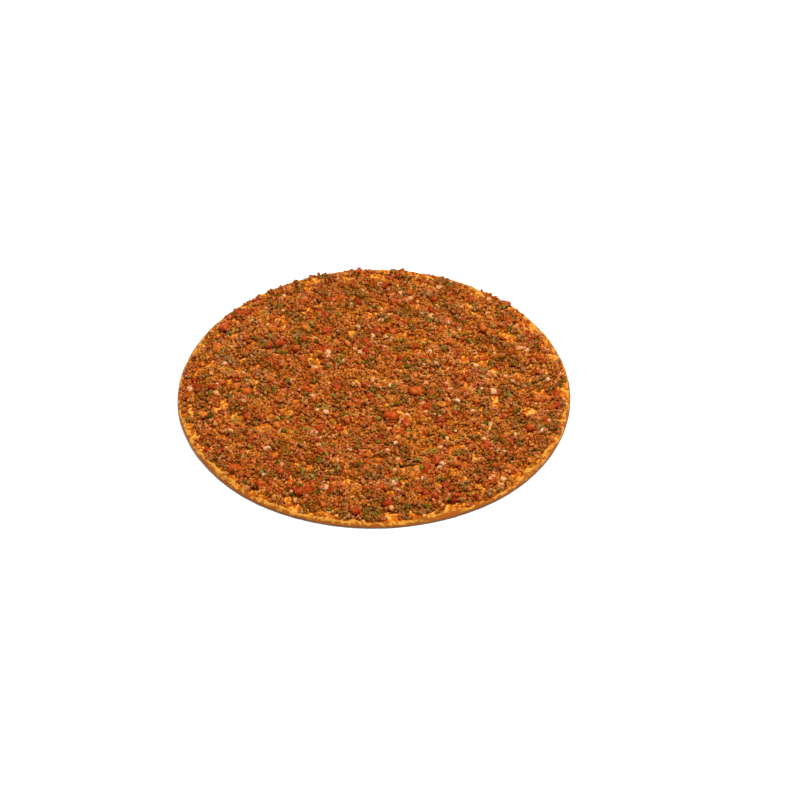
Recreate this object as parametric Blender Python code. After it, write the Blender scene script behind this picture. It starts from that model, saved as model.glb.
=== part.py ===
"""Lahmacun: a thin round flatbread baked with a spread of spiced minced meat.

Units are metres and +Z is up.  The origin is on the resting plane, below the
middle of the flatbread.  There are two sub-parts:

    flatbread      the rolled dough, flat below, with a low swollen rim
    mince_topping  the layer of meat spread on it, out to its uneven outline

Each is a profile turned once round Z and then shaped: the profile holds a
radius and a share of the local thickness (0 below, 1 on top), and the shaping
gives every point its own outline, rim height and bumps.
"""
import math

import bmesh
import bpy
from mathutils import Vector, noise

# Driving dimensions
DIAMETER = 0.280  # across the flatbread
DOUGH_THICKNESS = 0.0020  # where the topping lies
RIM_HEIGHT = 0.0027  # crest of the bare rim
RIM_WIDTH = 0.013  # from the edge to where the dough is flat
EDGE_ROUND = 0.0017  # depth of the rounded edge
TOPPING_THICKNESS = 0.0027
TOPPING_TAPER = 0.008  # the topping thins over this width towards its border
TOPPING_BORDER = 0.45  # share of the thickness that is left at the border
MARGIN = 0.0046  # bare dough between the edge and the topping
BUMP_HEIGHT = 0.0012  # how far the topping swells and sinks
BUMP_SPACING = 0.016
GAP = 0.0003  # between the topping and the dough

# Fineness of the solids
STEPS = 120  # facets round the disc
TOPPING_RING = 0.0075  # spacing of the rings on top of the topping

RADIUS = DIAMETER / 2
NOSE = 0.4  # share of the height at which the edge sticks out furthest
ROUND_STEPS = 3  # facets on each half of a rounded edge

# Waves round the disc: how many, how large, and the phase in radians
OUTLINE_WAVES = ((2, 0.0030, 0.6), (3, 0.0024, 2.1), (5, 0.0015, 4.0), (9, 0.0008, 1.1))
RIM_WAVES = ((3, 0.05, 1.9), (7, 0.05, 0.4), (13, 0.04, 2.6), (19, 0.03, 5.0))
MARGIN_WAVES = ((1, 0.0009, 0.7), (6, 0.0004, 2.2), (11, 0.0005, 0.9), (17, 0.0005, 3.7), (26, 0.0004, 5.1))


def waves(angle, table):
    """The sum of the cosine waves in the table at this angle."""
    return sum(size * math.cos(count * angle + phase) for count, size, phase in table)


def smooth_step(value):
    """0 below 0, 1 above 1, and an even S-shaped rise between."""
    value = min(max(value, 0.0), 1.0)
    return value * value * (3 - 2 * value)


def middle_of_outline():
    """The middle of the box round the wavy outline, which the disc is shifted by."""
    angles = [math.tau * step / STEPS for step in range(STEPS)]
    edge = [RADIUS * (1 + waves(angle, OUTLINE_WAVES)) for angle in angles]
    across = [radius * math.cos(angle) for radius, angle in zip(edge, angles)]
    along = [radius * math.sin(angle) for radius, angle in zip(edge, angles)]
    return Vector(((max(across) + min(across)) / 2, (max(along) + min(along)) / 2, 0.0))


def dough_top(radius, angle):
    """Height of the dough's top: level inside, rising to a rim whose height varies."""
    rise = smooth_step((radius - RADIUS + RIM_WIDTH) / (RIM_WIDTH - EDGE_ROUND))
    crest = (RIM_HEIGHT - DOUGH_THICKNESS) + RIM_HEIGHT * waves(angle, RIM_WAVES)
    return DOUGH_THICKNESS + crest * rise


def topping_depth(radius, angle, border):
    """Thickness of the topping: thinner towards its border, with soft bumps."""
    taper = smooth_step((border - radius) / TOPPING_TAPER)
    even = TOPPING_THICKNESS * (TOPPING_BORDER + (1 - TOPPING_BORDER) * taper)
    place = Vector((radius * math.cos(angle), radius * math.sin(angle), 0.0)) / BUMP_SPACING
    return even + BUMP_HEIGHT * taper * noise.noise(place)


def turned_disc(profile):
    """A closed disc in bmesh: the profile turned once round Z and merged at its seam and poles."""
    disc = bmesh.new()
    points = [disc.verts.new((radius, 0.0, share)) for radius, share in profile]
    edges = [disc.edges.new(pair) for pair in zip(points, points[1:])]
    bmesh.ops.spin(disc, geom=points + edges, cent=(0, 0, 0), axis=(0, 0, 1), angle=math.tau, steps=STEPS)
    bmesh.ops.remove_doubles(disc, verts=disc.verts, dist=1e-6)
    bmesh.ops.recalc_face_normals(disc, faces=disc.faces)
    return disc


def rounded_edge(radius):
    """Profile points round an edge, from its top to its bottom, widest at the nose."""
    quarter = [math.pi / 2 * step / ROUND_STEPS for step in range(ROUND_STEPS + 1)]
    inner = radius - EDGE_ROUND
    upper = [(inner + EDGE_ROUND * math.sin(a), NOSE + (1 - NOSE) * math.cos(a)) for a in quarter]
    lower = [(inner + EDGE_ROUND * math.cos(a), NOSE - NOSE * math.sin(a)) for a in quarter]
    return upper + lower[1:]


def rings(inner, outer, spacing):
    """Evenly spaced radii from inner up to, but not including, outer."""
    count = max(1, round((outer - inner) / spacing))
    return [inner + (outer - inner) * step / count for step in range(count)]


def shape(disc, place):
    """Moves each point of a turned disc to where place(radius, angle, share) says."""
    shift = middle_of_outline()
    for point in disc.verts:
        x, y, share = point.co
        point.co = place(math.hypot(x, y), math.atan2(y, x), share) - shift


def bread_point(radius, angle, share):
    """A point of the flatbread, whose underside is flat."""
    reach = radius * (1 + waves(angle, OUTLINE_WAVES))
    return Vector((reach * math.cos(angle), reach * math.sin(angle), share * dough_top(radius, angle)))


def topping_point(radius, angle, share):
    """A point of the topping, whose underside follows the dough and whose border wanders."""
    border = RADIUS - MARGIN
    pull = waves(angle, MARGIN_WAVES) * smooth_step(radius / border)
    radius = radius - pull
    border = border - waves(angle, MARGIN_WAVES)
    height = dough_top(radius, angle) + GAP + share * topping_depth(radius, angle, border)
    reach = radius * (1 + waves(angle, OUTLINE_WAVES))
    return Vector((reach * math.cos(angle), reach * math.sin(angle), height))


def bread_profile():
    """Down the middle of the top, over the rim, round the edge and back along the underside."""
    flat = rings(0.0, RADIUS - RIM_WIDTH, RADIUS / 2)
    rim = rings(RADIUS - RIM_WIDTH, RADIUS - EDGE_ROUND, RIM_WIDTH / 6)
    top = [(radius, 1.0) for radius in flat + rim]
    return top + rounded_edge(RADIUS) + [(RADIUS / 2, 0.0), (0.0, 0.0)]


def topping_profile():
    """Over the bumpy top, round the border and back along the underside."""
    border = RADIUS - MARGIN
    top = [(radius, 1.0) for radius in rings(0.0, border - EDGE_ROUND, TOPPING_RING)]
    slope = rings(RADIUS - RIM_WIDTH, border - EDGE_ROUND, EDGE_ROUND)
    underside = [(radius, 0.0) for radius in reversed([0.0, RADIUS / 2] + slope)]
    return top + rounded_edge(border) + underside


def principled(name, colour, roughness):
    """A plain material: a linear colour and a roughness, not metallic."""
    material = bpy.data.materials.new(name)
    material.use_nodes = True
    shader = material.node_tree.nodes["Principled BSDF"]
    shader.inputs["Base Color"].default_value = (*colour, 1.0)
    shader.inputs["Roughness"].default_value = roughness
    shader.inputs["Metallic"].default_value = 0.0
    return material


def add_part(name, collection, profile, place, material):
    """Turns and shapes one sub-part and puts it in the collection."""
    disc = turned_disc(profile)
    shape(disc, place)
    mesh = bpy.data.meshes.new(name)
    disc.to_mesh(mesh)
    disc.free()
    mesh.shade_smooth()
    mesh.materials.append(material)
    part = bpy.data.objects.new(name, mesh)
    collection.objects.link(part)
    return part


def main():
    for old in list(bpy.data.objects):
        bpy.data.objects.remove(old)
    lahmacun = bpy.data.collections.new("lahmacun")
    bpy.context.scene.collection.children.link(lahmacun)
    baked_dough = principled("baked_dough", (0.62, 0.28, 0.06), 0.55)
    minced_meat = principled("minced_meat", (0.36, 0.10, 0.03), 0.45)
    add_part("flatbread", lahmacun, bread_profile(), bread_point, baked_dough)
    add_part("mince_topping", lahmacun, topping_profile(), topping_point, minced_meat)


main()
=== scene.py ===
"""Looks of a lahmacun: a thin baked flatbread under a crumbly spread of spiced minced meat.

The flatbread and the core of the topping are discs worked out on a polar grid.  Everything that lies on
the core is scattered in layers, from the lowest up: each layer settles on a map of the heights below it
and then raises that map.  Lengths are metres, +Z is up, and the origin is below the middle of the bread.
"""
import math

import bpy
import numpy as np

from bpy.props import FloatProperty, FloatVectorProperty, IntProperty, PointerProperty
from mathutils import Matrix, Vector


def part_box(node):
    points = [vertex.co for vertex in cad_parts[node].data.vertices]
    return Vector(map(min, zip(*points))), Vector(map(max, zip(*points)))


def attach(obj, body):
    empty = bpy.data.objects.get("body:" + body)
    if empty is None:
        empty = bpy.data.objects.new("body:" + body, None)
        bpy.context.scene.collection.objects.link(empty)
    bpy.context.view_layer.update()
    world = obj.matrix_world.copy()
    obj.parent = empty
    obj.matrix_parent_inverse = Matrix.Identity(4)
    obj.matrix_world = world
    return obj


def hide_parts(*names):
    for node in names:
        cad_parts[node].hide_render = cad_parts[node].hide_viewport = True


bl_info = {
    "name": "Lahmacun",
    "version": (1, 0, 0),
    "blender": (4, 5, 0),
    "location": "View3D > Sidebar > Lahmacun",
    "description": "Makes a baked lahmacun: its bread, its sauce and every crumb of the topping",
    "category": "Add Mesh",
}

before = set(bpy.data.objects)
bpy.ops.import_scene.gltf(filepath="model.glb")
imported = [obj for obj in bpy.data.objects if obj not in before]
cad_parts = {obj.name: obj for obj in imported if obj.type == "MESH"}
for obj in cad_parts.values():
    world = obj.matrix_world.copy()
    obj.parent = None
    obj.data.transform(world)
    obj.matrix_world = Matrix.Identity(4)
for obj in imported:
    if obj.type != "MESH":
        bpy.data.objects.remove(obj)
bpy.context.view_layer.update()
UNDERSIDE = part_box("flatbread")[0][2]

MM = 0.001

# The disc's own form, the same as that of the solid it stands for
RADIUS = 0.140
DOUGH_THICKNESS = 0.0020
RIM_HEIGHT = 0.0027
RIM_WIDTH = 0.013
EDGE_ROUND = 0.0017
NOSE = 0.4
MARGIN = 0.0046
OUTLINE_WAVES = ((2, 0.0030, 0.6), (3, 0.0024, 2.1), (5, 0.0015, 4.0), (9, 0.0008, 1.1))
RIM_WAVES = ((3, 0.05, 1.9), (7, 0.05, 0.4), (13, 0.04, 2.6), (19, 0.03, 5.0))
MARGIN_WAVES = ((1, 0.0009, 0.7), (6, 0.0004, 2.2), (11, 0.0005, 0.9), (17, 0.0005, 3.7), (26, 0.0004, 5.1))

# The margin of bare dough round the topping: its least and most width, how far the topping runs over the
# solid's margin, and how much wider the margin gets on which side
MARGIN_LEAST = 0.6 * MM
MARGIN_MOST = 9 * MM
MARGIN_OVERRUN = 2.5 * MM
MARGIN_LEAN = 0.9 * MM
MARGIN_WIDEST = math.radians(-145)

# How many points go round each disc
COLUMNS = 640

# The seeds of the noises, one for each use
SCALLOP_SEED, SWAY_SEED = 11, 12
PATCH_SEED, GAP_SEED = 21, 22
HEAP_SEED, GRIT_SEED = 31, 41
SWELL_SEED, NET_SEED = 42, 43
RISE_SEED, RIDGE_SEED = 52, 53
DENT_SEED, WOBBLE_SEED = 61, 62
TONE_SEED, HUE_SEED = 71, 72


# ---------------------------------------------------------------- numbers

def linear(code):
    """An sRGB hex colour as four linear numbers, the last one opacity."""
    parts = np.array([int(code[i:i + 2], 16) for i in (1, 3, 5)]) / 255
    bright = np.where(parts <= 0.04045, parts / 12.92, ((parts + 0.055) / 1.055) ** 2.4)
    return (*bright.tolist(), 1.0)


def smooth_step(value, low=0.0, high=1.0):
    """0 below low, 1 above high, and an even S-shaped rise between."""
    t = np.clip((value - low) / (high - low), 0.0, 1.0)
    return t * t * (3 - 2 * t)


def waves(angle, table):
    """The sum of the table's cosine waves at each angle."""
    return sum(size * np.cos(count * angle + phase) for count, size, phase in table)


# The noise lattice: its cells each way before it repeats, and how far its corner lies from the middle
LATTICE = 256
LATTICE_CORNER = (97.3, 31.7)


def noise(x, y, cell, seed, octaves=1):
    """Smooth noise from 0 to 1: random values on a square lattice of this cell, blended by an S curve.
    Each further octave halves the cell and the weight."""
    table = np.random.default_rng(seed).random((LATTICE, LATTICE))
    total = np.zeros(np.broadcast(x, y).shape)
    weights = 0.0
    for octave in range(octaves):
        u = x / cell * 2 ** octave + LATTICE_CORNER[0]
        v = y / cell * 2 ** octave + LATTICE_CORNER[1]
        i = np.floor(u).astype(int)
        j = np.floor(v).astype(int)
        a = smooth_step(u - i)
        b = smooth_step(v - j)
        i, i1, j, j1 = i % LATTICE, (i + 1) % LATTICE, j % LATTICE, (j + 1) % LATTICE
        low = table[i, j] * (1 - a) + table[i1, j] * a
        high = table[i, j1] * (1 - a) + table[i1, j1] * a
        total = total + (low * (1 - b) + high * b) * 0.5 ** octave
        weights += 0.5 ** octave
    return total / weights


# ---------------------------------------------------------------- the disc's form

def outline_middle():
    """The middle of the box round the wavy outline, which everything is shifted by."""
    angle = np.linspace(0, math.tau, 120, endpoint=False)
    reach = RADIUS * (1 + waves(angle, OUTLINE_WAVES))
    x, y = reach * np.cos(angle), reach * np.sin(angle)
    return np.array([(x.max() + x.min()) / 2, (y.max() + y.min()) / 2])


MIDDLE = outline_middle()


def placed(radius, angle):
    """Plan position of a radius on the even disc, stretched to the wavy outline and centred."""
    reach = radius * (1 + waves(angle, OUTLINE_WAVES))
    return reach * np.cos(angle) - MIDDLE[0], reach * np.sin(angle) - MIDDLE[1]


def even(x, y):
    """Radius on the even disc and angle of a plan position, the reverse of placed."""
    x, y = x + MIDDLE[0], y + MIDDLE[1]
    angle = np.arctan2(y, x)
    return np.hypot(x, y) / (1 + waves(angle, OUTLINE_WAVES)), angle


def dough_height(radius, angle):
    """Height of the dough's top: level inside, rising to a rim whose height varies."""
    rise = smooth_step((radius - RADIUS + RIM_WIDTH) / (RIM_WIDTH - EDGE_ROUND))
    crest = RIM_HEIGHT - DOUGH_THICKNESS + RIM_HEIGHT * waves(angle, RIM_WAVES)
    return DOUGH_THICKNESS + crest * rise


def topping_border(angle):
    """Radius on the even disc where the topping ends: a margin that wanders, widest at the front left and
    narrowest at the back right, with scallops."""
    wide = MARGIN_LEAN * np.cos(angle - MARGIN_WIDEST) - MARGIN_OVERRUN
    border = RADIUS - MARGIN - waves(angle, MARGIN_WAVES) - wide
    x, y = placed(RADIUS, angle)
    scallops = 5.0 * MM * (noise(x, y, 5 * MM, SCALLOP_SEED, 2) - 0.5)
    sway = 3.2 * MM * (noise(x, y, 14 * MM, SWAY_SEED) - 0.5)
    return np.clip(border + scallops + sway, RADIUS - MARGIN_MOST, RADIUS - MARGIN_LEAST)


# Bare patches where the dough shows between the crumbs: x, y, length, width in millimetres and
# the turn of the long side in degrees, then metres of half a patch for each millimetre
PATCHES = (
    (-108, -22, 15, 9, 60), (-96, -32, 12, 8, 20), (-104, 6, 6, 11, 80), (-62, -26, 11, 6, -30),
    (-77, -44, 12, 9, 10), (-20, -46, 11, 7, -60), (-2, 52, 12, 6, 20), (12, 62, 9, 6, 0),
    (-16, 60, 8, 5, 40), (-92, 44, 12, 7, 35), (-70, 78, 13, 7, 30), (46, 96, 14, 7, -15),
    (74, 84, 16, 6, -30), (96, 60, 13, 8, -40), (30, -84, 13, 5, -10), (60, -96, 14, 6, 20),
    (-44, -84, 9, 5, 30), (88, -20, 10, 6, -30), (52, 22, 10, 6, 40), (70, -50, 9, 6, 0),
    (-40, 24, 8, 5, -20), (18, -22, 9, 5, 60), (0, -62, 8, 5, 10), (-58, 46, 9, 5, 0),
    (104, 14, 9, 6, 70), (-20, 104, 10, 5, 10), (34, 52, 8, 5, -40), (-118, 24, 8, 6, 80),
    (-48, 124, 16, 8, 22), (0, 130, 16, 6, 0), (38, 128, 14, 7, -15), (-24, 127, 10, 5, 10),
)
PATCH_REACH = 0.50 * MM


def patch_bareness(x, y):
    """1 in the middle of each bare patch, an ellipse with a ragged edge, falling to 0 outside it."""
    bare = np.zeros(np.broadcast(x, y).shape)
    ragged = 0.55 * (noise(x, y, 4 * MM, PATCH_SEED, 2) - 0.5)
    for px, py, length, width, turn in PATCHES:
        c, s = math.cos(math.radians(turn)), math.sin(math.radians(turn))
        dx, dy = x - px * MM, y - py * MM
        along = (dx * c + dy * s) / (length * PATCH_REACH)
        across = (dy * c - dx * s) / (width * PATCH_REACH)
        bare = np.maximum(bare, 1 - smooth_step(np.hypot(along, across) + ragged, 0.7, 1.35))
    return bare


def bareness(x, y):
    """How far the dough shows at a place, from 0 to 1: the chosen patches, many small gaps and the rim."""
    radius, angle = even(x, y)
    inward = topping_border(angle) - radius
    thin = 0.12 * (1 - smooth_step(inward, 0, 9 * MM))
    gaps = smooth_step(noise(x, y, 5.5 * MM, GAP_SEED, 3) + thin, 0.54, 0.68)
    rim = smooth_step(-inward, -0.9 * MM, 0.6 * MM)
    return np.maximum(np.maximum(patch_bareness(x, y), 0.9 * gaps), rim)


def crinkle(x, y):
    """Baked crinkles of bare dough, from about -0.5 in the hollows to 0.6 on the ridges: soft swellings,
    with a net of narrow ridges along the lines where a second noise passes its middle."""
    ridges = 1 - np.clip(7 * np.abs(noise(x, y, 2.8 * MM, NET_SEED, 2) - 0.5), 0, 1)
    return 0.8 * (noise(x, y, 2.4 * MM, SWELL_SEED, 3) - 0.5) + 0.75 * (ridges - 0.3)


def border_ridge(x, y):
    """The ridge of dough just outside the topping, from 0 to 1: a bell about 1.5 mm wide along the border,
    broken by noise."""
    radius, angle = even(x, y)
    away = (radius - topping_border(angle) - 1.0 * MM) / (0.9 * MM)
    return np.exp(-away ** 2) * smooth_step(noise(x, y, 4 * MM, RIDGE_SEED, 2), 0.30, 0.60)


def heaping(x, y):
    """How high the meat is heaped at a place, from 0 to 1, in soft clumps."""
    return noise(x, y, 11 * MM, HEAP_SEED, 2)


def core_height(x, y):
    """Height of the sauce-soaked bed: dough where it is bare, heaps of fine meat elsewhere, and just
    below the bread's top past the border."""
    radius, angle = even(x, y)
    grit = noise(x, y, 1.9 * MM, GRIT_SEED, 2) - 0.5
    covered = 1 - bareness(x, y)
    inner = smooth_step(topping_border(angle) - radius, 1 * MM, 10 * MM)
    heap = (0.4 + inner) * MM * heaping(x, y) + 0.6 * MM * grit
    soaked = 0.3 * MM + covered * heap + (1 - covered) * 1.5 * MM * crinkle(x, y)
    outside = smooth_step(radius - topping_border(angle), -0.6 * MM, 0.6 * MM)
    return bread_top(radius, angle) + (1 - outside) * soaked - 0.4 * MM * outside


def bread_top(radius, angle):
    """Height of the bread's top: the dough's form, crinkled near the rim, with the ridge along the topping
    and a few baked blisters."""
    x, y = placed(radius, angle)
    depth = RADIUS - radius
    near = smooth_step(-depth, -RIM_WIDTH * 1.4, -RIM_WIDTH * 0.4)
    rise = near * (0.7 * MM * crinkle(x, y) + 0.6 * MM * (noise(x, y, 9 * MM, RISE_SEED) - 0.4))
    domes = sum(high * MM * dome(x, y, *place) for *place, high, _ in BLISTERS)
    return dough_height(radius, angle) + rise + 0.5 * MM * border_ridge(x, y) + domes


# Blisters on the rim: direction in degrees, distance in from the edge, width and height in millimetres, and
# how brown it is
BLISTERS = (
    (-76, 4.4, 8.0, 1.4, 1.0), (-58, 2.6, 8.0, 0.6, 0.8), (-118, 3.0, 6.0, 0.8, 0.2),
    (-101, 3.4, 5.0, 0.7, 0.3), (-152, 3.5, 7.0, 0.9, 0.3), (-35, 3.2, 7.0, 0.9, 0.5),
    (12, 3.6, 8.0, 1.1, 0.6), (58, 3.0, 6.0, 0.8, 0.4), (96, 3.4, 7.0, 1.0, 0.5),
    (131, 3.0, 6.0, 0.8, 0.3), (171, 3.6, 8.0, 1.0, 0.6), (-136, 2.8, 4.5, 0.6, 0.4),
)


def dome(x, y, turn, inset, across):
    """A half ball, 1 at its middle and 0 outside, at this direction and distance in from the edge."""
    bx, by = placed(RADIUS - inset * MM, math.radians(turn))
    away = np.hypot(x - bx, y - by) / (across * MM / 2)
    return np.sqrt(np.clip(1 - away ** 2, 0, 1))


# ---------------------------------------------------------------- meshes

def add_mesh(name, points, corners, counts, material, bake_map=None, values=None):
    """A piece from whole arrays: points, the corners of every face in turn, and each face's corner count."""
    mesh = bpy.data.meshes.new(name)
    mesh.vertices.add(len(points))
    mesh.vertices.foreach_set("co", points.astype(np.float32).ravel())
    mesh.loops.add(len(corners))
    mesh.loops.foreach_set("vertex_index", corners.astype(np.int32))
    mesh.polygons.add(len(counts))
    starts = np.concatenate([[0], np.cumsum(counts)[:-1]])
    mesh.polygons.foreach_set("loop_start", starts.astype(np.int32))
    if bake_map is not None:
        layer = mesh.uv_layers.new(name="OFBake")
        layer.uv.foreach_set("vector", bake_map.astype(np.float32).ravel())
    for label, data in (values or {}).items():
        attribute = mesh.attributes.new(label, "FLOAT", "POINT")
        attribute.data.foreach_set("value", data.astype(np.float32).ravel())
    mesh.materials.append(material)
    mesh.update(calc_edges=True)
    mesh.validate()
    if bake_map is None:
        mesh.shade_smooth()
    piece = bpy.data.objects.new(name, mesh)
    bpy.context.scene.collection.objects.link(piece)
    return piece


def disc_faces(rows, columns):
    """Corners and counts of a closed skin: rows of points round the disc between two single end points.
    Points are stored as the first end, the rows, and the last end."""
    row = np.arange(rows - 1)[:, None] * columns + 1
    column = np.arange(columns)[None, :]
    after = (column + 1) % columns
    quads = np.stack([row + column, row + columns + column, row + columns + after, row + after], -1)
    first = np.stack([np.zeros(columns, int), 1 + np.arange(columns), 1 + after[0]], -1)
    base = 1 + (rows - 1) * columns
    last = np.stack([np.full(columns, 1 + rows * columns), base + after[0], base + np.arange(columns)], -1)
    corners = np.concatenate([first.ravel(), quads.reshape(-1, 4).ravel(), last.ravel()])
    counts = np.concatenate([np.full(columns, 3), np.full((rows - 1) * columns, 4), np.full(columns, 3)])
    return corners, counts


def edge_profile(radius, depth, steps, nose):
    """Radii and shares of the height round a rounded edge, from its top to its bottom."""
    turn = np.linspace(0, math.pi / 2, steps + 1)
    upper = np.stack([radius - depth + depth * np.sin(turn), nose + (1 - nose) * np.cos(turn)], -1)
    lower = np.stack([radius - depth + depth * np.cos(turn), nose - nose * np.sin(turn)], -1)
    return np.concatenate([upper, lower[1:]])


def grain_template(columns, rows):
    """A unit ball as rows of points between two poles: directions, corners, counts and a bake map in
    the unit square, where each face keeps some width, also at the poles."""
    tilt = np.linspace(0, math.pi, rows + 2)[1:-1]
    turn = np.linspace(0, math.tau, columns, endpoint=False)
    ring = np.stack([
        np.sin(tilt)[:, None] * np.cos(turn)[None, :],
        np.sin(tilt)[:, None] * np.sin(turn)[None, :],
        np.repeat(np.cos(tilt)[:, None], columns, 1),
    ], -1).reshape(-1, 3)
    directions = np.concatenate([[[0, 0, 1.0]], ring, [[0, 0, -1.0]]])
    corners, counts = disc_faces(rows, columns)
    u = np.arange(columns + 1) / columns
    v = np.linspace(0, 1, rows + 2)
    left, right = u[:-1], u[1:]
    middle = (left + right) / 2
    cap_down = np.tile([v[0], v[1], v[1]], (columns, 1))
    foot_down = np.tile([v[-1], v[-2], v[-2]], (columns, 1))
    cap = np.stack([np.stack([middle, left, right], -1), cap_down], -1)
    foot = np.stack([np.stack([middle, right, left], -1), foot_down], -1)
    walls = []
    for i in range(1, rows):
        across = np.stack([left, left, right, right], -1)
        down = np.tile([v[i], v[i + 1], v[i + 1], v[i]], (columns, 1))
        walls.append(np.stack([across, down], -1).reshape(-1, 2))
    bake_map = np.concatenate([cap.reshape(-1, 2), *walls, foot.reshape(-1, 2)])
    return directions, corners, counts, bake_map


def grain_bake_map(bake_map, many, gap=0.06):
    """The unit bake map repeated for each grain in its own cell of a square sheet of cells, with this
    share of the cell kept free on each side."""
    side = math.ceil(math.sqrt(many))
    cell = np.stack(np.divmod(np.arange(many), side), -1)
    inside = gap + (1 - 2 * gap) * bake_map
    return ((cell[:, None, :] + inside[None, :, :]) / side).reshape(-1, 2)


def turns(many, rng, tilt):
    """Rotation matrices: a random turn about the vertical, then a lean of up to about tilt radians."""
    yaw = rng.uniform(0, math.tau, many)
    lean = rng.normal(0, tilt, many)
    heading = rng.uniform(0, math.tau, many)
    cy, sy = np.cos(yaw), np.sin(yaw)
    zero, one = np.zeros(many), np.ones(many)
    about_z = np.stack([cy, -sy, zero, sy, cy, zero, zero, zero, one], -1).reshape(-1, 3, 3)
    ax, ay = np.cos(heading), np.sin(heading)
    c, s = np.cos(lean), np.sin(lean)
    tip = np.stack([
        c + ax * ax * (1 - c), ax * ay * (1 - c), ay * s,
        ax * ay * (1 - c), c + ay * ay * (1 - c), -ax * s,
        -ay * s, ax * s, c,
    ], -1).reshape(-1, 3, 3)
    return tip @ about_z


class Relief:
    """A map of heights over the disc, which each scattered layer settles on and raises."""

    STEP = 0.5 * MM
    HALF = 300
    SOFT = 6

    def __init__(self):
        axis = (np.arange(2 * self.HALF) - self.HALF) * self.STEP
        self.x, self.y = np.meshgrid(axis, axis, indexing="ij")
        radius, angle = even(self.x, self.y)
        self.height = np.maximum(core_height(self.x, self.y), bread_top(radius, angle))

    def mean_top(self, x, y):
        """Height of the finished surface at each place, averaged over a square of 6.5 mm."""
        soft = self.height
        for axis in (0, 1):
            shifts = range(-self.SOFT, self.SOFT + 1)
            soft = sum(np.roll(soft, shift, axis) for shift in shifts) / len(shifts)
        return soft[self.cells(x, y)]

    def cells(self, x, y):
        """Row and column of each place, kept inside the map."""
        i = np.rint(x / self.STEP).astype(int) + self.HALF
        j = np.rint(y / self.STEP).astype(int) + self.HALF
        last = 2 * self.HALF - 1
        return np.clip(i, 0, last), np.clip(j, 0, last)

    def rest(self, x, y, reach):
        """Height that a grain of this reach rests at: the mean of five places below it."""
        total = self.height[self.cells(x, y)]
        for dx, dy in ((0.6, 0), (-0.6, 0), (0, 0.6), (0, -0.6)):
            total = total + self.height[self.cells(x + dx * reach, y + dy * reach)]
        return total / 5

    def settle(self, x, y, reach, rng, tries):
        """Moves each grain to the lowest of some places round it, as loose grains roll into gaps."""
        best_x, best_y, best = x, y, self.rest(x, y, reach)
        for _ in range(tries):
            heading = rng.uniform(0, math.tau, len(x))
            step = rng.uniform(0.5, 1.3, len(x)) * reach
            new_x, new_y = x + step * np.cos(heading), y + step * np.sin(heading)
            new = self.rest(new_x, new_y, reach)
            lower = new < best
            best_x, best_y, best = (np.where(lower, a, b) for a, b in
                                    ((new_x, best_x), (new_y, best_y), (new, best)))
        return best_x, best_y, best

    def cover(self, x, y, z, reach, thick):
        """Raises the map to the tops of these grains, taken as flattened balls."""
        far = int(math.ceil(reach.max() / self.STEP))
        for dx in range(-far, far + 1):
            for dy in range(-far, far + 1):
                away = np.hypot(dx, dy) * self.STEP / reach
                top = z + thick * np.sqrt(np.clip(1 - away ** 2, 0, 1))
                i, j = self.cells(x + dx * self.STEP, y + dy * self.STEP)
                inside = away < 1
                np.maximum.at(self.height, (i[inside], j[inside]), top[inside])


def spread_places(pitch, rng, jitter, inset):
    """Places on a turned triangular grid of this pitch, each moved at random, this far within the topping."""
    count = int(2.2 * RADIUS / pitch / 0.86) + 2
    i, j = np.meshgrid(np.arange(-count, count), np.arange(-count, count), indexing="ij")
    u = (i + 0.5 * (j % 2)).ravel() * pitch
    v = j.ravel() * pitch * math.sqrt(3) / 2
    u = u + rng.uniform(-jitter, jitter, u.shape) * pitch
    v = v + rng.uniform(-jitter, jitter, v.shape) * pitch
    turn = rng.uniform(0, math.tau)
    x, y = u * math.cos(turn) - v * math.sin(turn), u * math.sin(turn) + v * math.cos(turn)
    radius, angle = even(x, y)
    inside = radius < topping_border(angle) - inset
    order = rng.permutation(np.flatnonzero(inside))
    return x[order], y[order]


def bent(points, amount):
    """The points with their middle raised and both ends of x lowered, by amount times x squared."""
    return points - amount * np.stack([0 * points[..., 0], 0 * points[..., 0], points[..., 0] ** 2], -1)


def grain_shapes(directions, many, rng, form):
    """Unit shapes for many grains.  Each direction is carried out to a superellipsoid of power boxy, pushed
    in and out by up to rough, and stretched in x and y at random, the more the longer the form is; flat is
    its height against its width."""
    power = np.linalg.norm(directions, ord=form["boxy"], axis=1)
    base = directions / power[:, None]
    push = 1 + form["rough"] * rng.uniform(-1, 1, (many, len(directions), 1))
    stretch = np.stack([
        rng.uniform(0.90, 1.10 + 0.40 * form["long"], many),
        rng.uniform(0.90 - 0.25 * form["long"], 1.0 - 0.15 * form["long"], many),
        form["flat"] * rng.uniform(0.7, 1.2, many),
    ], -1)
    return base[None] * push * stretch[:, None, :]


# A grain that comes to rest higher than this is pressed down into the heap, by this share of the excess
PRESSED_ABOVE = 4.6 * MM
PRESSED = 0.65

# How far in from the border a grain's middle stays, as a share of half its size, less an overhang
BORDER_INSET = 1.6
BORDER_OVERHANG = 1.5 * MM

# Grains take their tone and hue partly at random and partly from patches of this cell, by these amounts
PATCH_CELL = 8 * MM
OWN_TONE, SHARED_TONE = 0.50, 1.3
OWN_HUE, SHARED_HUE = 0.20, 3.2

# No grain reaches lower than this above the bread's underside
LOWEST = 0.6 * MM


def own_and_shared(x, y, chances, own, shared, seed):
    """A number from 0 to 1 for each grain: one half, plus a part of its own and a part that it shares with
    the grains near it."""
    patches = noise(x, y, PATCH_CELL, seed, 3)
    return (own * chances + (0.5 - own / 2) + shared * (patches - 0.5)).clip(0, 1)


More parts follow.
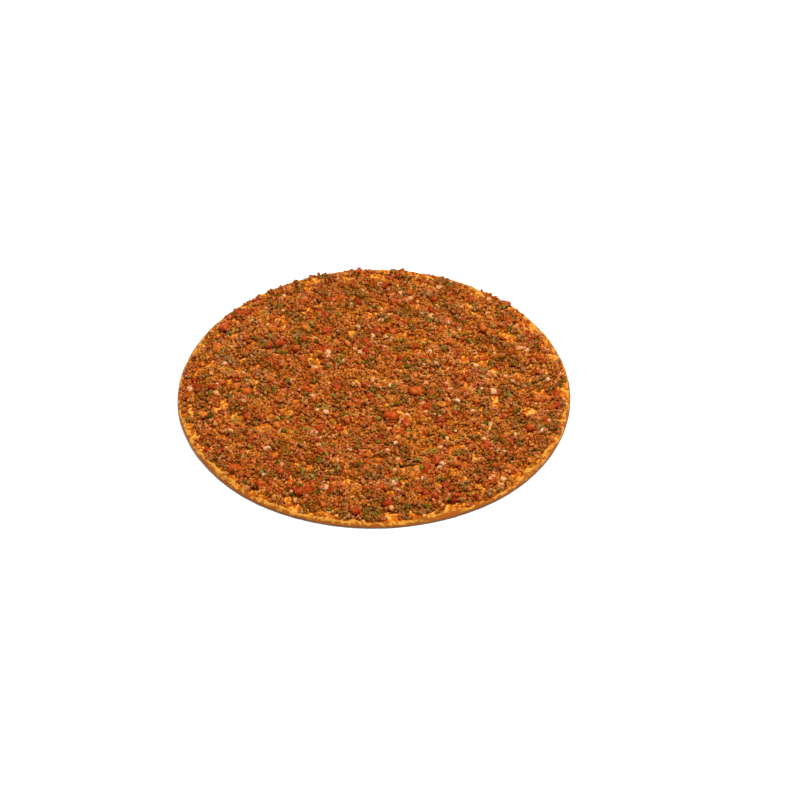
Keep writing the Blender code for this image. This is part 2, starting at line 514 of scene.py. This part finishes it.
def scatter(relief, places, middle, chance, rng, layer):
    """The points and values of many grains of about the middle size.  Each grain rolls to the lowest of
    some tries, is kept by its chance there, and rests on the relief, which is then raised to its top."""
    form = dict(zip(FORM_FIELDS, FORMS[layer["form"]]))
    half = sizes_about(middle, layer["spread"], len(places[0]), rng) / 2
    x, y, floor = relief.settle(*places, half, rng, layer["tries"])
    radius, angle = even(x, y)
    within = radius < topping_border(angle) - BORDER_INSET * half + BORDER_OVERHANG
    keep = (rng.random(len(x)) < chance(x, y)) & within
    x, y, floor, half = x[keep], y[keep], floor[keep], half[keep]
    many = len(x)
    directions, corners, counts, unit_map = grain_template(form["columns"], form["rows"])
    shapes = grain_shapes(directions, many, rng, form)
    shapes = bent(shapes, form["bend"])
    thick = half * np.clip(form["flat"] + 0.35 * layer["lean"], 0.2, 1.2)
    floor = floor - PRESSED * np.clip(floor - PRESSED_ABOVE, 0, None)
    z = floor + thick * (1 - 2 * layer["sink"])
    turned = np.einsum("nij,nvj->nvi", turns(many, rng, layer["lean"]), shapes * half[:, None, None])
    points = turned + np.stack([x, y, z], -1)[:, None, :]
    points[..., 2] = np.maximum(points[..., 2], UNDERSIDE + LOWEST)
    relief.cover(x, y, z, half, thick)
    tone = own_and_shared(x, y, rng.random(many), OWN_TONE, SHARED_TONE, TONE_SEED)
    hue = own_and_shared(x, y, rng.random(many), OWN_HUE, SHARED_HUE, HUE_SEED)
    offsets = np.arange(many)[:, None] * len(directions)
    return {
        "points": points,
        "corners": (corners[None, :] + offsets).ravel(),
        "counts": np.tile(counts, many),
        "bake_map": grain_bake_map(unit_map, many),
        "shade": np.repeat(tone, len(directions)),
        "hue": np.repeat(hue, len(directions)),
        "fleck": rng.random(points.shape[:2]),
    }


def add_grains(name, grains, relief, material):
    """A piece of scattered grains, with how deep each point lies below the finished surface."""
    points = grains["points"]
    # This depth drives the painted shade low in the heap and the painted highlight on the crumbs' tops
    deep = (relief.mean_top(points[..., 0], points[..., 1]) - points[..., 2]) / MM
    values = {key: grains[key] for key in ("shade", "hue", "fleck")}
    return add_mesh(name, points.reshape(-1, 3), grains["corners"], grains["counts"], material,
                    grains["bake_map"], {**values, "deep": deep})


def finish_piece(piece):
    """Fixes a piece to the one body."""
    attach(piece, "root")


# ---------------------------------------------------------------- materials

def add_node(tree, kind, settings=None, links=None, stops=()):
    """Adds a node, sets its properties and unlinked inputs, links its inputs from other outputs, and gives
    a colour ramp its stops, which are pairs of position and linear colour."""
    node = tree.nodes.new(kind)
    for key, value in (settings or {}).items():
        if isinstance(key, str) and hasattr(node, key) and key not in node.inputs:
            setattr(node, key, value)
        else:
            node.inputs[key].default_value = value
    for key, output in (links or {}).items():
        tree.links.new(output, node.inputs[key])
    for number, (position, tone) in enumerate(stops):
        elements = node.color_ramp.elements
        element = elements[number] if number < 2 else elements.new(position)
        element.position, element.color = position, tone
    return node


def blotches(tree, size, detail=3.0, rough=0.6):
    """Soft random blotches in object space, about size metres across."""
    place = add_node(tree, "ShaderNodeTexCoord").outputs["Object"]
    node = add_node(tree, "ShaderNodeTexNoise", {"Scale": 0.5 / size, "Detail": detail, "Roughness": rough},
                    {"Vector": place})
    return node.outputs["Fac"]


def granules(tree, size):
    """Small rounded granules in object space, size metres apart: how far each point is from the middle of
    its own granule, and a random number for each granule."""
    place = add_node(tree, "ShaderNodeTexCoord").outputs["Object"]
    node = add_node(tree, "ShaderNodeTexVoronoi", {"Scale": 1 / size}, {"Vector": place})
    split = add_node(tree, "ShaderNodeSeparateColor", links={"Color": node.outputs["Color"]})
    return node.outputs["Distance"], split.outputs["Red"]


# The sockets of a mix of colours, which has several of the same name
MIX_SHARE, MIX_FIRST, MIX_SECOND = 0, 6, 7
MIX_RESULT = 2


def shaded(tree, first, second, value, low, high, most=1.0):
    """Goes from the first colour to the second, or most of the way, as the value goes from low to high.
    The value is a node's output or the name of one of the piece's own numbers."""
    if isinstance(value, str):
        value = add_node(tree, "ShaderNodeAttribute", {"attribute_name": value}).outputs["Fac"]
    share = add_node(tree, "ShaderNodeMapRange", {"From Min": low, "From Max": high, "To Max": most},
                     {"Value": value}).outputs["Result"]
    node = add_node(tree, "ShaderNodeMix", {"data_type": "RGBA"}, {MIX_SHARE: share})
    for socket, tone in ((MIX_FIRST, first), (MIX_SECOND, second)):
        if isinstance(tone, bpy.types.NodeSocket):
            tree.links.new(tone, node.inputs[socket])
        else:
            node.inputs[socket].default_value = tone
    return node.outputs[MIX_RESULT]


def finish(name, roughness, specular, subsurface=0.0):
    """An empty material of this name with a Principled shader, whose gloss has the orange of the oil on
    everything here; returns the material, its tree and the shader."""
    material = bpy.data.materials.new(name)
    material.use_nodes = True
    tree = material.node_tree
    shader = tree.nodes["Principled BSDF"]
    shader.inputs["Roughness"].default_value = roughness
    shader.inputs["Specular IOR Level"].default_value = specular
    shader.inputs["Specular Tint"].default_value = linear("#ffac60")
    shader.inputs["Subsurface Weight"].default_value = subsurface
    shader.inputs["Subsurface Radius"].default_value = (0.0015, 0.0006, 0.0003)
    shader.inputs["Subsurface Scale"].default_value = 1.0
    return material, tree, shader


def complete(tree, shader, colour, height, strength, distance):
    """Gives the shader its colour, and fine relief from a height pattern."""
    node = add_node(tree, "ShaderNodeBump", {"Strength": strength, "Distance": distance}, {"Height": height})
    tree.links.new(node.outputs["Normal"], shader.inputs["Normal"])
    tree.links.new(colour, shader.inputs["Base Color"])


def cooked_mince(settings):
    """Browned minced meat coated in tomato and chilli oil: brown, golden, red and orange crumbs of
    millimetre granules, some paler with fat, with painted shade down in the gaps and between the granules,
    painted highlights on the tops of the crumbs and in pale specks, and a little warm gloss."""
    material, tree, shader = finish("cooked minced meat", 0.34, 0.08, 0.35)
    shader.inputs["Specular Tint"].default_value = linear("#ffb070")
    own_hue = add_node(tree, "ShaderNodeAttribute", {"attribute_name": "hue"}).outputs["Fac"]
    base = add_node(tree, "ShaderNodeValToRGB", links={"Fac": own_hue}, stops=(
        (0.0, settings.meat_olive), (1.0, settings.meat_gold), (0.25, settings.meat_brown),
        (0.50, settings.meat_red), (0.78, settings.meat_orange),
    )).outputs["Color"]
    away, chance = granules(tree, 1.5 * MM)
    tone = shaded(tree, base, settings.meat_dark_and_gap_shade, "shade", 0.45, 0.0, 0.35)
    tone = shaded(tree, tone, settings.meat_pale_and_highlight, "shade", 0.75, 1.1, 0.35)
    # Painted highlight: the tops of the crumbs paler
    tone = shaded(tree, tone, settings.meat_pale_and_highlight, "deep", 0.0, -1.5, 0.12)
    tone = shaded(tree, tone, settings.meat_dark_and_gap_shade, chance, 0.40, 0.0, 0.50)
    # Painted highlight: pale specks on random granules, standing in for glints
    tone = shaded(tree, tone, settings.meat_pale_and_highlight, chance, 0.75, 1.0, 0.40)
    tone = shaded(tree, tone, settings.meat_dark_and_gap_shade, "fleck", 0.40, 0.0, 0.50)
    # Painted highlight: pale specks on random points, standing in for glints
    tone = shaded(tree, tone, settings.meat_pale_and_highlight, "fleck", 0.70, 1.0, 0.35)
    # Painted shade between the granules, darker toward the edge of each granule
    tone = shaded(tree, tone, settings.meat_dark_and_gap_shade, away, 0.45, 0.85, 0.35)
    # Painted shade down in the gaps: darker the deeper a point lies below the finished surface
    tone = shaded(tree, tone, settings.meat_dark_and_gap_shade, "deep", 1.0, 3.0)
    complete(tree, shader, tone, blotches(tree, 1.0 * MM, 4.0, 0.7), 0.9, 0.9 * MM)
    return material


def creases_to_crests(tree, size, low, high, stops):
    """The colour of crinkled dough from its creases to its crests, broken up by blotches of this size, and
    the level that the colour follows; the paler crests are partly a painted highlight."""
    crest = add_node(tree, "ShaderNodeAttribute", {"attribute_name": "crest"}).outputs["Fac"]
    blotch = blotches(tree, size, 4.0, 0.65)
    level = add_node(tree, "ShaderNodeMath", {"operation": "ADD"}, {0: crest, 1: blotch}).outputs[0]
    share = add_node(tree, "ShaderNodeMapRange", {"From Min": low, "From Max": high},
                     {"Value": level}).outputs["Result"]
    tone = add_node(tree, "ShaderNodeValToRGB", links={"Fac": share}, stops=stops).outputs["Color"]
    return tone, level


def sauce_bed(settings):
    """Dough soaked in tomato and chilli oil below the crumbs: where it is bare, pale crests, partly a
    painted highlight, and orange creases, and elsewhere granules of fine meat, darkened toward their
    edges as painted shade between them."""
    material, tree, shader = finish("sauce-soaked dough", 0.5, 0.15)
    dough, level = creases_to_crests(tree, 1.6 * MM, 0.55, 1.45, (
        (0.12, settings.sauce), (0.95, settings.dough_pale_and_highlight), (0.40, settings.dough_orange),
        (0.66, settings.dough_gold),
    ))
    away, chance = granules(tree, 1.5 * MM)
    meat = shaded(tree, settings.meat_olive, settings.meat_orange, chance, 0.1, 1.0)
    # Painted shade between the granules of fine meat, darker toward each granule's edge
    meat = shaded(tree, meat, settings.meat_dark_and_gap_shade, away, 0.30, 0.65)
    tone = shaded(tree, meat, dough, "bare", 0.25, 0.65)
    height = add_node(tree, "ShaderNodeMath", {"operation": "SUBTRACT"}, {0: level, 1: away}).outputs[0]
    complete(tree, shader, tone, height, 0.6, 0.6 * MM)
    return material


def baked_bread(settings):
    """Thin yeast dough baked in a hot stone oven: golden with paler crests on top, partly a painted
    highlight, browned at the edge with painted shade along its bottom, and pale with brown scorch spots
    below."""
    material, tree, shader = finish("baked flatbread", 0.55, 0.15)
    gold, _ = creases_to_crests(tree, 2.4 * MM, 0.40, 1.20, (
        (0.16, settings.crust_orange), (0.95, settings.crust_pale_and_highlight), (0.55, settings.crust_gold),
    ))
    below = add_node(tree, "ShaderNodeValToRGB", links={"Fac": blotches(tree, 9 * MM, 5.0)}, stops=(
        (0.36, settings.underside), (0.70, settings.crust_dark_and_edge_shade), (0.52, settings.underside_tan),
        (0.60, settings.crust_brown),
    )).outputs["Color"]
    toasted = shaded(tree, gold, settings.crust_brown, "toast", 0.0, 1.0)
    face = shaded(tree, below, toasted, "top", 0.0, 1.0)
    browned = shaded(tree, face, settings.crust_brown, "side", 0.05, 0.40, 0.90)
    # Painted shade: the bottom of the edge darkened
    tone = shaded(tree, browned, settings.crust_dark_and_edge_shade, "side", 0.55, 0.80)
    complete(tree, shader, tone, blotches(tree, 1.2 * MM, 4.0), 0.4, 0.4 * MM)
    return material


def soft_vegetable(settings, name, dark, middle, pale, roughness, specular, subsurface):
    """A cooked, wet vegetable: each bit takes its own tone between dark and pale, mottled at a
    millimetre, with painted shade where it lies deep in the heap, and a soft gloss."""
    material, tree, shader = finish(name, roughness, specular, subsurface)
    dark, middle, pale = linear(dark), linear(middle), linear(pale)
    tone = shaded(tree, middle, dark, "shade", 0.50, 0.0)
    tone = shaded(tree, tone, pale, "shade", 0.55, 1.0)
    tone = shaded(tree, tone, dark, blotches(tree, 1.2 * MM), 0.58, 0.38, 0.8)
    tone = shaded(tree, tone, pale, "fleck", 0.5, 1.0, 0.5)
    # Painted shade: darker the deeper a point lies below the finished surface
    tone = shaded(tree, tone, settings.meat_dark_and_gap_shade, "deep", 1.0, 3.0)
    complete(tree, shader, tone, blotches(tree, 0.9 * MM), 0.3, 0.3 * MM)
    return material


def plain_floor(settings):
    """A matt white board, so that only the light shows on it."""
    material, tree, shader = finish("matt white board", 0.9, 0.2)
    shader.inputs["Specular Tint"].default_value = linear("#ffffff")
    tone = shaded(tree, settings.floor_tone, linear("#ffffff"), blotches(tree, 8 * MM, 2.0), 0.3, 0.7)
    tree.links.new(tone, shader.inputs["Base Color"])
    return material


# ---------------------------------------------------------------- settings

def colour(name, description, code):
    """A colour property with this default."""
    return FloatVectorProperty(name=name, description=description, subtype="COLOR", size=4, min=0.0, max=1.0,
                               default=linear(code))


def length(name, description, default):
    """A length property in metres."""
    return FloatProperty(name=name, description=description, default=default, min=0.0, unit="LENGTH")


class LahmacunFinishes(bpy.types.PropertyGroup):
    """Colours of the finishes"""
    # Painted shade too: the gaps, the low sides of the crumbs and the edges of the granules
    meat_dark_and_gap_shade: colour("Meat, dark", "Gaps and browned sides of the crumbs", "#642200")
    meat_olive: colour("Meat, olive", "Crumbs browned with herbs", "#865200")
    meat_gold: colour("Meat, golden", "Crumbs golden with oil", "#c47210")
    meat_brown: colour("Meat, brown", "Most of the crumbs", "#aa5e06")
    meat_red: colour("Meat, red", "Crumbs stained by tomato paste", "#b24508")
    meat_orange: colour("Meat, orange", "Crumbs coated in chilli oil", "#c06004")
    # Also painted highlights on the tops of the crumbs and in pale specks
    meat_pale_and_highlight: colour("Meat, pale", "Crumbs with fat in them", "#e2a878")
    sauce: colour("Sauce", "Tomato and chilli oil soaked into the dough", "#b84404")
    dough_orange: colour("Dough, orange", "Dough stained by the sauce", "#b0540a")
    dough_gold: colour("Dough, gold", "Baked dough", "#cc7a1c")
    # Partly a painted highlight on the crests
    dough_pale_and_highlight: colour("Dough, pale", "Crests of the baked dough", "#dc9c44")
    crust_orange: colour("Crust, orange", "Creases of the rim, stained by oil", "#904612")
    crust_gold: colour("Crust, gold", "Baked rim", "#925216")
    # Partly a painted highlight on the crests
    crust_pale_and_highlight: colour("Crust, pale", "Crests of the rim", "#c08632")
    crust_brown: colour("Crust, brown", "Browned dough on the edge", "#864618")
    # Also the painted shade along the bottom of the edge
    crust_dark_and_edge_shade: colour("Crust, dark", "Scorched dough", "#34140a")
    underside: colour("Underside", "Pale baked dough below", "#dcb883")
    underside_tan: colour("Underside, tan", "Toasted dough below", "#c08a50")
    floor_tone: colour("Floor", "Palest grey of the board", "#f4f4f3")


class LahmacunSizes(bpy.types.PropertyGroup):
    """Sizes of the scattered grains"""
    lump: length("Lumps", "Middle size of the largest lumps of meat", 3.8 * MM)
    coarse: length("Coarse crumbs", "Middle size of the coarse crumbs", 2.8 * MM)
    medium: length("Medium crumbs", "Middle size of the medium crumbs", 2.1 * MM)
    small: length("Small crumbs", "Middle size of the small crumbs", 1.6 * MM)
    fine: length("Fine crumbs", "Middle size of the fine crumbs", 1.2 * MM)
    tomato: length("Tomato", "Middle size of the tomato dice", 4.8 * MM)
    pepper: length("Red pepper", "Middle size of the red pepper dice", 3.8 * MM)
    onion: length("Onion", "Middle size of the onion bits", 3.8 * MM)
    green_pepper: length("Green pepper", "Middle size of the green pepper bits", 2.8 * MM)
    parsley: length("Parsley", "Middle size of the parsley flecks", 3.7 * MM)
    speck: length("Specks", "Middle size of the specks of spice and char", 1.2 * MM)
    seed: IntProperty(name="Seed", description="Start of the random scatter", default=7, min=0)


# ---------------------------------------------------------------- the pieces

def make_bread(settings):
    """The bread: a fine rim, a coarse hidden middle, a rounded edge and an underside with shallow dents."""
    hidden = np.linspace(0.02, RADIUS - 24 * MM, 6)
    rim = np.arange(RADIUS - 23 * MM, RADIUS - EDGE_ROUND, 0.65 * MM)
    edge = edge_profile(RADIUS, EDGE_ROUND, 6, NOSE)
    below = np.arange(RADIUS - EDGE_ROUND - 2 * MM, 3 * MM, -2.6 * MM)
    profile = np.concatenate([
        np.stack([np.concatenate([hidden, rim]), np.ones(len(hidden) + len(rim))], -1),
        edge,
        np.stack([below, np.zeros(len(below))], -1),
    ])
    radius, share = profile[:, :1], profile[:, 1:]
    angle = np.linspace(0, math.tau, COLUMNS, endpoint=False)[None, :]
    x, y = placed(radius + 0 * angle, angle)
    dent = 0.25 * MM * noise(x, y, 6 * MM, DENT_SEED, 3) * (1 - smooth_step(share, 0, 0.3))
    near_edge = smooth_step(radius, RADIUS - 6 * MM, RADIUS)
    wobble = 0.35 * MM * (noise(x, y, 5 * MM, WOBBLE_SEED, 2) - 0.5) * near_edge
    z = share * bread_top(radius + 0 * angle, angle) + dent * smooth_step(RADIUS - radius, 0, 4 * MM)
    x, y = x + wobble * np.cos(angle), y + wobble * np.sin(angle)
    rows = np.stack([x, y, z], -1).reshape(-1, 3)
    top_end = [-MIDDLE[0], -MIDDLE[1], DOUGH_THICKNESS]
    low_end = [-MIDDLE[0], -MIDDLE[1], 0.0001]
    points = np.concatenate([[top_end], rows, [low_end]])
    corners, counts = disc_faces(len(profile), COLUMNS)
    top = np.repeat(smooth_step(share[:, 0], 0.05, 0.9), COLUMNS)
    outer = smooth_step(radius[:, 0], RADIUS - 1.6 * MM, RADIUS - 0.2 * MM)
    # How far down the edge a point lies: browned, and darkened lower down as painted shade
    side = np.repeat(outer * (1 - share[:, 0]), COLUMNS)
    # Paler toward the crests and along the ridge by the topping, partly a painted highlight
    crest = 0.5 + crinkle(x, y) + 0.45 * border_ridge(x, y)
    toast = np.max([brown * smooth_step(dome(x, y, *place), 0.2, 0.8) for *place, _, brown in BLISTERS], 0)
    outward = smooth_step(radius + 0 * angle, topping_border(angle) + 0.6 * MM, RADIUS - 0.3 * MM)
    values = {
        "top": np.concatenate([[1], top, [0]]),
        "side": np.concatenate([[0], side, [0]]),
        "crest": np.concatenate([[0.5], (crest - 0.35 * outward).ravel(), [0.5]]),
        "toast": np.concatenate([[0], toast.ravel(), [0]]),
    }
    piece = add_mesh("baked_flatbread", points, corners, counts, baked_bread(settings), None, values)
    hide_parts("flatbread")
    finish_piece(piece)


def make_bed(settings):
    """The bed that the crumbs lie on: dough soaked in sauce and fine meat, out to the scalloped border."""
    share = np.linspace(0, 1, 137)[1:, None]
    angle = np.linspace(0, math.tau, COLUMNS, endpoint=False)[None, :]
    radius = share * np.minimum(topping_border(angle) + 0.8 * MM, RADIUS - 1.2 * MM)
    x, y = placed(radius, angle)
    top = np.stack([x, y, core_height(x, y)], -1)
    under = np.stack([x[-1], y[-1], np.full(COLUMNS, 0.5 * DOUGH_THICKNESS)], -1)
    centre = np.array([-MIDDLE[0], -MIDDLE[1]])
    first = [*centre, float(core_height(centre[:1], centre[1:])[0])]
    last = [*centre, 0.5 * DOUGH_THICKNESS]
    points = np.concatenate([[first], top.reshape(-1, 3), under, [last]])
    corners, counts = disc_faces(len(share) + 1, COLUMNS)
    bare = np.concatenate([[0], bareness(x, y).ravel(), np.ones(COLUMNS), [1]])
    # Paler toward the crests, partly a painted highlight
    crest = np.concatenate([[0.5], 0.5 + crinkle(x, y).ravel(), np.zeros(COLUMNS), [0]])
    values = {"bare": bare, "crest": crest}
    piece = add_mesh("sauce_bed", points, corners, counts, sauce_bed(settings), None, values)
    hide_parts("mince_topping")
    finish_piece(piece)


# The forms of the grains: points round the ball and rows of points on it, and how rough, boxy, long, flat and
# bent it is
FORM_FIELDS = ("columns", "rows", "rough", "boxy", "long", "flat", "bend")
FORMS = {
    "crumb": (7, 3, 0.42, 2.6, 1.0, 1.20, 0.0),
    "lump": (8, 4, 0.44, 2.4, 0.8, 1.00, 0.0),
    "medium": (6, 2, 0.44, 2.6, 1.0, 1.30, 0.0),
    "small": (5, 2, 0.36, 2.4, 0.8, 1.40, 0.0),
    "fine": (4, 2, 0.30, 2.4, 0.8, 1.50, 0.0),
    "dice": (8, 4, 0.34, 7.0, 0.5, 0.72, 0.0),
    "onion": (8, 4, 0.12, 5.0, 0.3, 0.50, 0.22),
    "fleck": (7, 2, 0.38, 2.0, 0.8, 0.13, 0.30),
    "speck": (4, 1, 0.30, 2.0, 0.5, 0.60, 0.0),
}


def on_meat(base, heaped):
    """Chance of a grain: few on bare dough, base elsewhere, and heaped more where the meat is heaped."""
    def chance(x, y):
        return (1 - 0.92 * bareness(x, y)) * (base + heaped * smooth_step(heaping(x, y), 0.35, 0.65))
    return chance


def sizes_about(middle, spread, many, rng):
    """Sizes round a middle one, most of them smaller than it and none far off it."""
    return middle * np.exp(rng.normal(-0.5 * spread ** 2, spread, many)).clip(0.55, 1.55)


# The fields of a scattered layer: its size, its pitch in sizes, how far places stray from an even grid, the
# share kept off the heaps and the share added on them, the spread of sizes, the grain's form, the share of
# it that is sunk, its lean in radians, its tries at rolling lower, and its finish
FIELDS = ("size", "pitch", "jitter", "base", "heaped", "spread", "form", "sink", "lean", "tries", "finish")

# Every scattered layer from the lowest up
LAYERS = {
    "mince_coarse": ("coarse", 1.15, 0.40, 0.70, 0.20, 0.18, "crumb", 0.42, 0.8, 0, "meat"),
    "tomato_dice_low": ("tomato", 2.6, 0.50, 0.60, 0.1, 0.25, "dice", 0.30, 0.4, 0, "tomato"),
    "mince_medium": ("medium", 1.14, 0.45, 0.75, 0.2, 0.22, "medium", 0.42, 0.8, 0, "meat"),
    "tomato_dice_high": ("tomato", 3.6, 0.50, 0.18, 0.0, 0.25, "dice", 0.55, 0.4, 1, "tomato"),
    "red_pepper_dice": ("pepper", 3.2, 0.50, 0.38, 0.0, 0.25, "dice", 0.50, 0.5, 1, "red_pepper"),
    "mince_lumps": ("lump", 1.80, 0.40, 0.20, 0.7, 0.20, "lump", 0.50, 0.7, 2, "meat"),
    "onion_bits": ("onion", 2.9, 0.50, 0.60, 0.0, 0.25, "onion", 0.50, 0.4, 1, "onion"),
    "mince_small": ("small", 1.40, 0.45, 0.40, 0.1, 0.22, "small", 0.40, 0.8, 0, "meat"),
    "green_pepper_bits": ("green_pepper", 7.5, 0.50, 0.3, 0.0, 0.20, "dice", 0.60, 0.4, 1, "green_pepper"),
    "parsley_flecks": ("parsley", 1.60, 0.50, 0.50, 0.0, 0.34, "fleck", 0.20, 0.5, 0, "parsley"),
    "mince_fine": ("fine", 1.60, 0.45, 0.35, 0.1, 0.22, "fine", 0.40, 0.8, 1, "meat"),
    "spice_specks": ("speck", 5.0, 0.50, 0.60, 0.0, 0.30, "speck", 0.20, 0.8, 0, "speck"),
}


# Cooked vegetables, herbs and specks: the real finish, its dark, middle and pale tones, its roughness, its
# gloss and how far light goes in
VEGETABLES = {
    # Orange-red dice, the warmest spots of the topping
    "tomato": ("stewed tomato", "#7a1604", "#a6340a", "#cc7222", 0.40, 0.3, 0.10),
    # Dice of a deeper red
    "red_pepper": ("roast red pepper", "#6e0e00", "#9a2608", "#bc4c1c", 0.40, 0.3, 0.08),
    # Pale, slightly clear bits stained by the oil
    "onion": ("sweated onion", "#b47034", "#d09660", "#e2b48c", 0.40, 0.2, 0.15),
    # A few olive bits
    "green_pepper": ("roast green pepper", "#5c5412", "#7c7628", "#989042", 0.45, 0.2, 0.10),
    # Dull green flecks, dried by the oven
    "parsley": ("chopped parsley", "#342c04", "#60520e", "#968a34", 0.60, 0.1, 0.0),
    # Almost black specks
    "speck": ("char and spice", "#1c0e06", "#381c08", "#58300e", 0.60, 0.1, 0.0),
}


def topping_finishes(settings):
    """The materials of the scattered layers, by name."""
    return {
        "meat": cooked_mince(settings),
        **{key: soft_vegetable(settings, *entry) for key, entry in VEGETABLES.items()},
    }


def make_topping(settings, sizes):
    """Every scattered layer in turn, each settling on the relief that the ones before it left."""
    relief = Relief()
    finishes = topping_finishes(settings)
    scattered = {}
    for number, (name, entry) in enumerate(LAYERS.items()):
        layer = dict(zip(FIELDS, entry))
        rng = np.random.default_rng(sizes.seed * 100 + number)
        middle = getattr(sizes, layer["size"])
        inset = 0.4 * middle
        places = spread_places(layer["pitch"] * middle, rng, layer["jitter"], inset)
        chance = on_meat(layer["base"], layer["heaped"])
        scattered[name] = scatter(relief, places, middle, chance, rng, layer)
    for name, grains in scattered.items():
        material = finishes[dict(zip(FIELDS, LAYERS[name]))["finish"]]
        finish_piece(add_grains(name, grains, relief, material))


# ---------------------------------------------------------------- the stage

# The camera: degrees above the floor, metres away, metres shown across the picture, its film's width in
# millimetres, and the point on the floor that it looks at
CAMERA_ELEVATION = 41.3
CAMERA_DISTANCE = 1.3
SHOWN_WIDTH = 0.5705
FILM_WIDTH = 36.0
TARGET = (0.0185, -0.0107, 0.0)

ROOM_LIGHT = 0.6
FLOOR_SIZE = 8.0


def aim(thing, target):
    """Turns a camera or a lamp to look at a point."""
    thing.rotation_euler = (Vector(target) - thing.location).to_track_quat("-Z", "Y").to_euler()


def add_lamp(name, place, size, power):
    """A square soft lamp that points at the bread."""
    light = bpy.data.lights.new(name, "AREA")
    light.size = size
    light.energy = power
    lamp = bpy.data.objects.new(name, light)
    lamp.location = place
    aim(lamp, (0.0, 0.0, 0.0))
    bpy.context.scene.collection.objects.link(lamp)


def make_stage(settings):
    """A plain white floor, a soft white room, soft lamps above and behind to the right, and the camera."""
    bpy.ops.mesh.primitive_plane_add(size=FLOOR_SIZE, location=(0, 0, 0))
    floor = bpy.context.object
    floor.name = "floor"
    floor.data.materials.append(plain_floor(settings))
    world = bpy.data.worlds.new("soft white room")
    world.use_nodes = True
    background = world.node_tree.nodes["Background"]
    background.inputs["Color"].default_value = linear("#ffffff")
    background.inputs["Strength"].default_value = ROOM_LIGHT
    bpy.context.scene.world = world
    add_lamp("top soft box", (0.15, 0.0, 1.25), 0.6, 16.9)
    add_lamp("back right soft box", (0.8, 0.5, 0.9), 0.7, 4.5)
    bpy.context.scene.view_settings.view_transform = "Standard"
    elevation = math.radians(CAMERA_ELEVATION)
    camera_data = bpy.data.cameras.new("camera")
    camera_data.sensor_width = FILM_WIDTH
    camera_data.lens = FILM_WIDTH * CAMERA_DISTANCE / SHOWN_WIDTH
    camera = bpy.data.objects.new("camera", camera_data)
    back = np.array([0.0, -math.cos(elevation), math.sin(elevation)])
    camera.location = TARGET + CAMERA_DISTANCE * back
    aim(camera, TARGET)
    bpy.context.scene.collection.objects.link(camera)
    bpy.context.scene.camera = camera


# ---------------------------------------------------------------- the add-on

class LahmacunBread(bpy.types.Operator):
    """Makes the baked flatbread"""
    bl_idname = "lahmacun.bread"
    bl_label = "Flatbread"

    def execute(self, context):
        make_bread(context.scene.lahmacun_finishes)
        return {"FINISHED"}


class LahmacunBed(bpy.types.Operator):
    """Makes the sauce-soaked bed below the crumbs"""
    bl_idname = "lahmacun.bed"
    bl_label = "Sauce bed"

    def execute(self, context):
        make_bed(context.scene.lahmacun_finishes)
        return {"FINISHED"}


class LahmacunTopping(bpy.types.Operator):
    """Scatters the crumbs of meat, the vegetables and the herbs"""
    bl_idname = "lahmacun.topping"
    bl_label = "Topping"

    def execute(self, context):
        make_topping(context.scene.lahmacun_finishes, context.scene.lahmacun_sizes)
        return {"FINISHED"}


class LahmacunStage(bpy.types.Operator):
    """Makes the floor, the light and the camera"""
    bl_idname = "lahmacun.stage"
    bl_label = "Stage"

    def execute(self, context):
        make_stage(context.scene.lahmacun_finishes)
        return {"FINISHED"}


class LahmacunPanel(bpy.types.Panel):
    """Buttons for the pieces, and their settings"""
    bl_idname = "VIEW3D_PT_lahmacun"
    bl_label = "Lahmacun"
    bl_space_type = "VIEW_3D"
    bl_region_type = "UI"
    bl_category = "Lahmacun"

    def draw(self, context):
        for operator in OPERATORS:
            self.layout.operator(operator.bl_idname)
        for group in (context.scene.lahmacun_sizes, context.scene.lahmacun_finishes):
            box = self.layout.box()
            for label in group.__annotations__:
                box.prop(group, label)


OPERATORS = (LahmacunBread, LahmacunBed, LahmacunTopping, LahmacunStage)
CLASSES = (LahmacunFinishes, LahmacunSizes, *OPERATORS, LahmacunPanel)


def register():
    for each in CLASSES:
        bpy.utils.register_class(each)
    bpy.types.Scene.lahmacun_finishes = PointerProperty(type=LahmacunFinishes)
    bpy.types.Scene.lahmacun_sizes = PointerProperty(type=LahmacunSizes)


def unregister():
    del bpy.types.Scene.lahmacun_sizes
    del bpy.types.Scene.lahmacun_finishes
    for each in reversed(CLASSES):
        bpy.utils.unregister_class(each)


def main():
    """Makes every piece and the stage."""
    register()
    bpy.ops.lahmacun.stage()
    bpy.ops.lahmacun.bread()
    bpy.ops.lahmacun.bed()
    bpy.ops.lahmacun.topping()


if __name__ == "__main__":
    main()
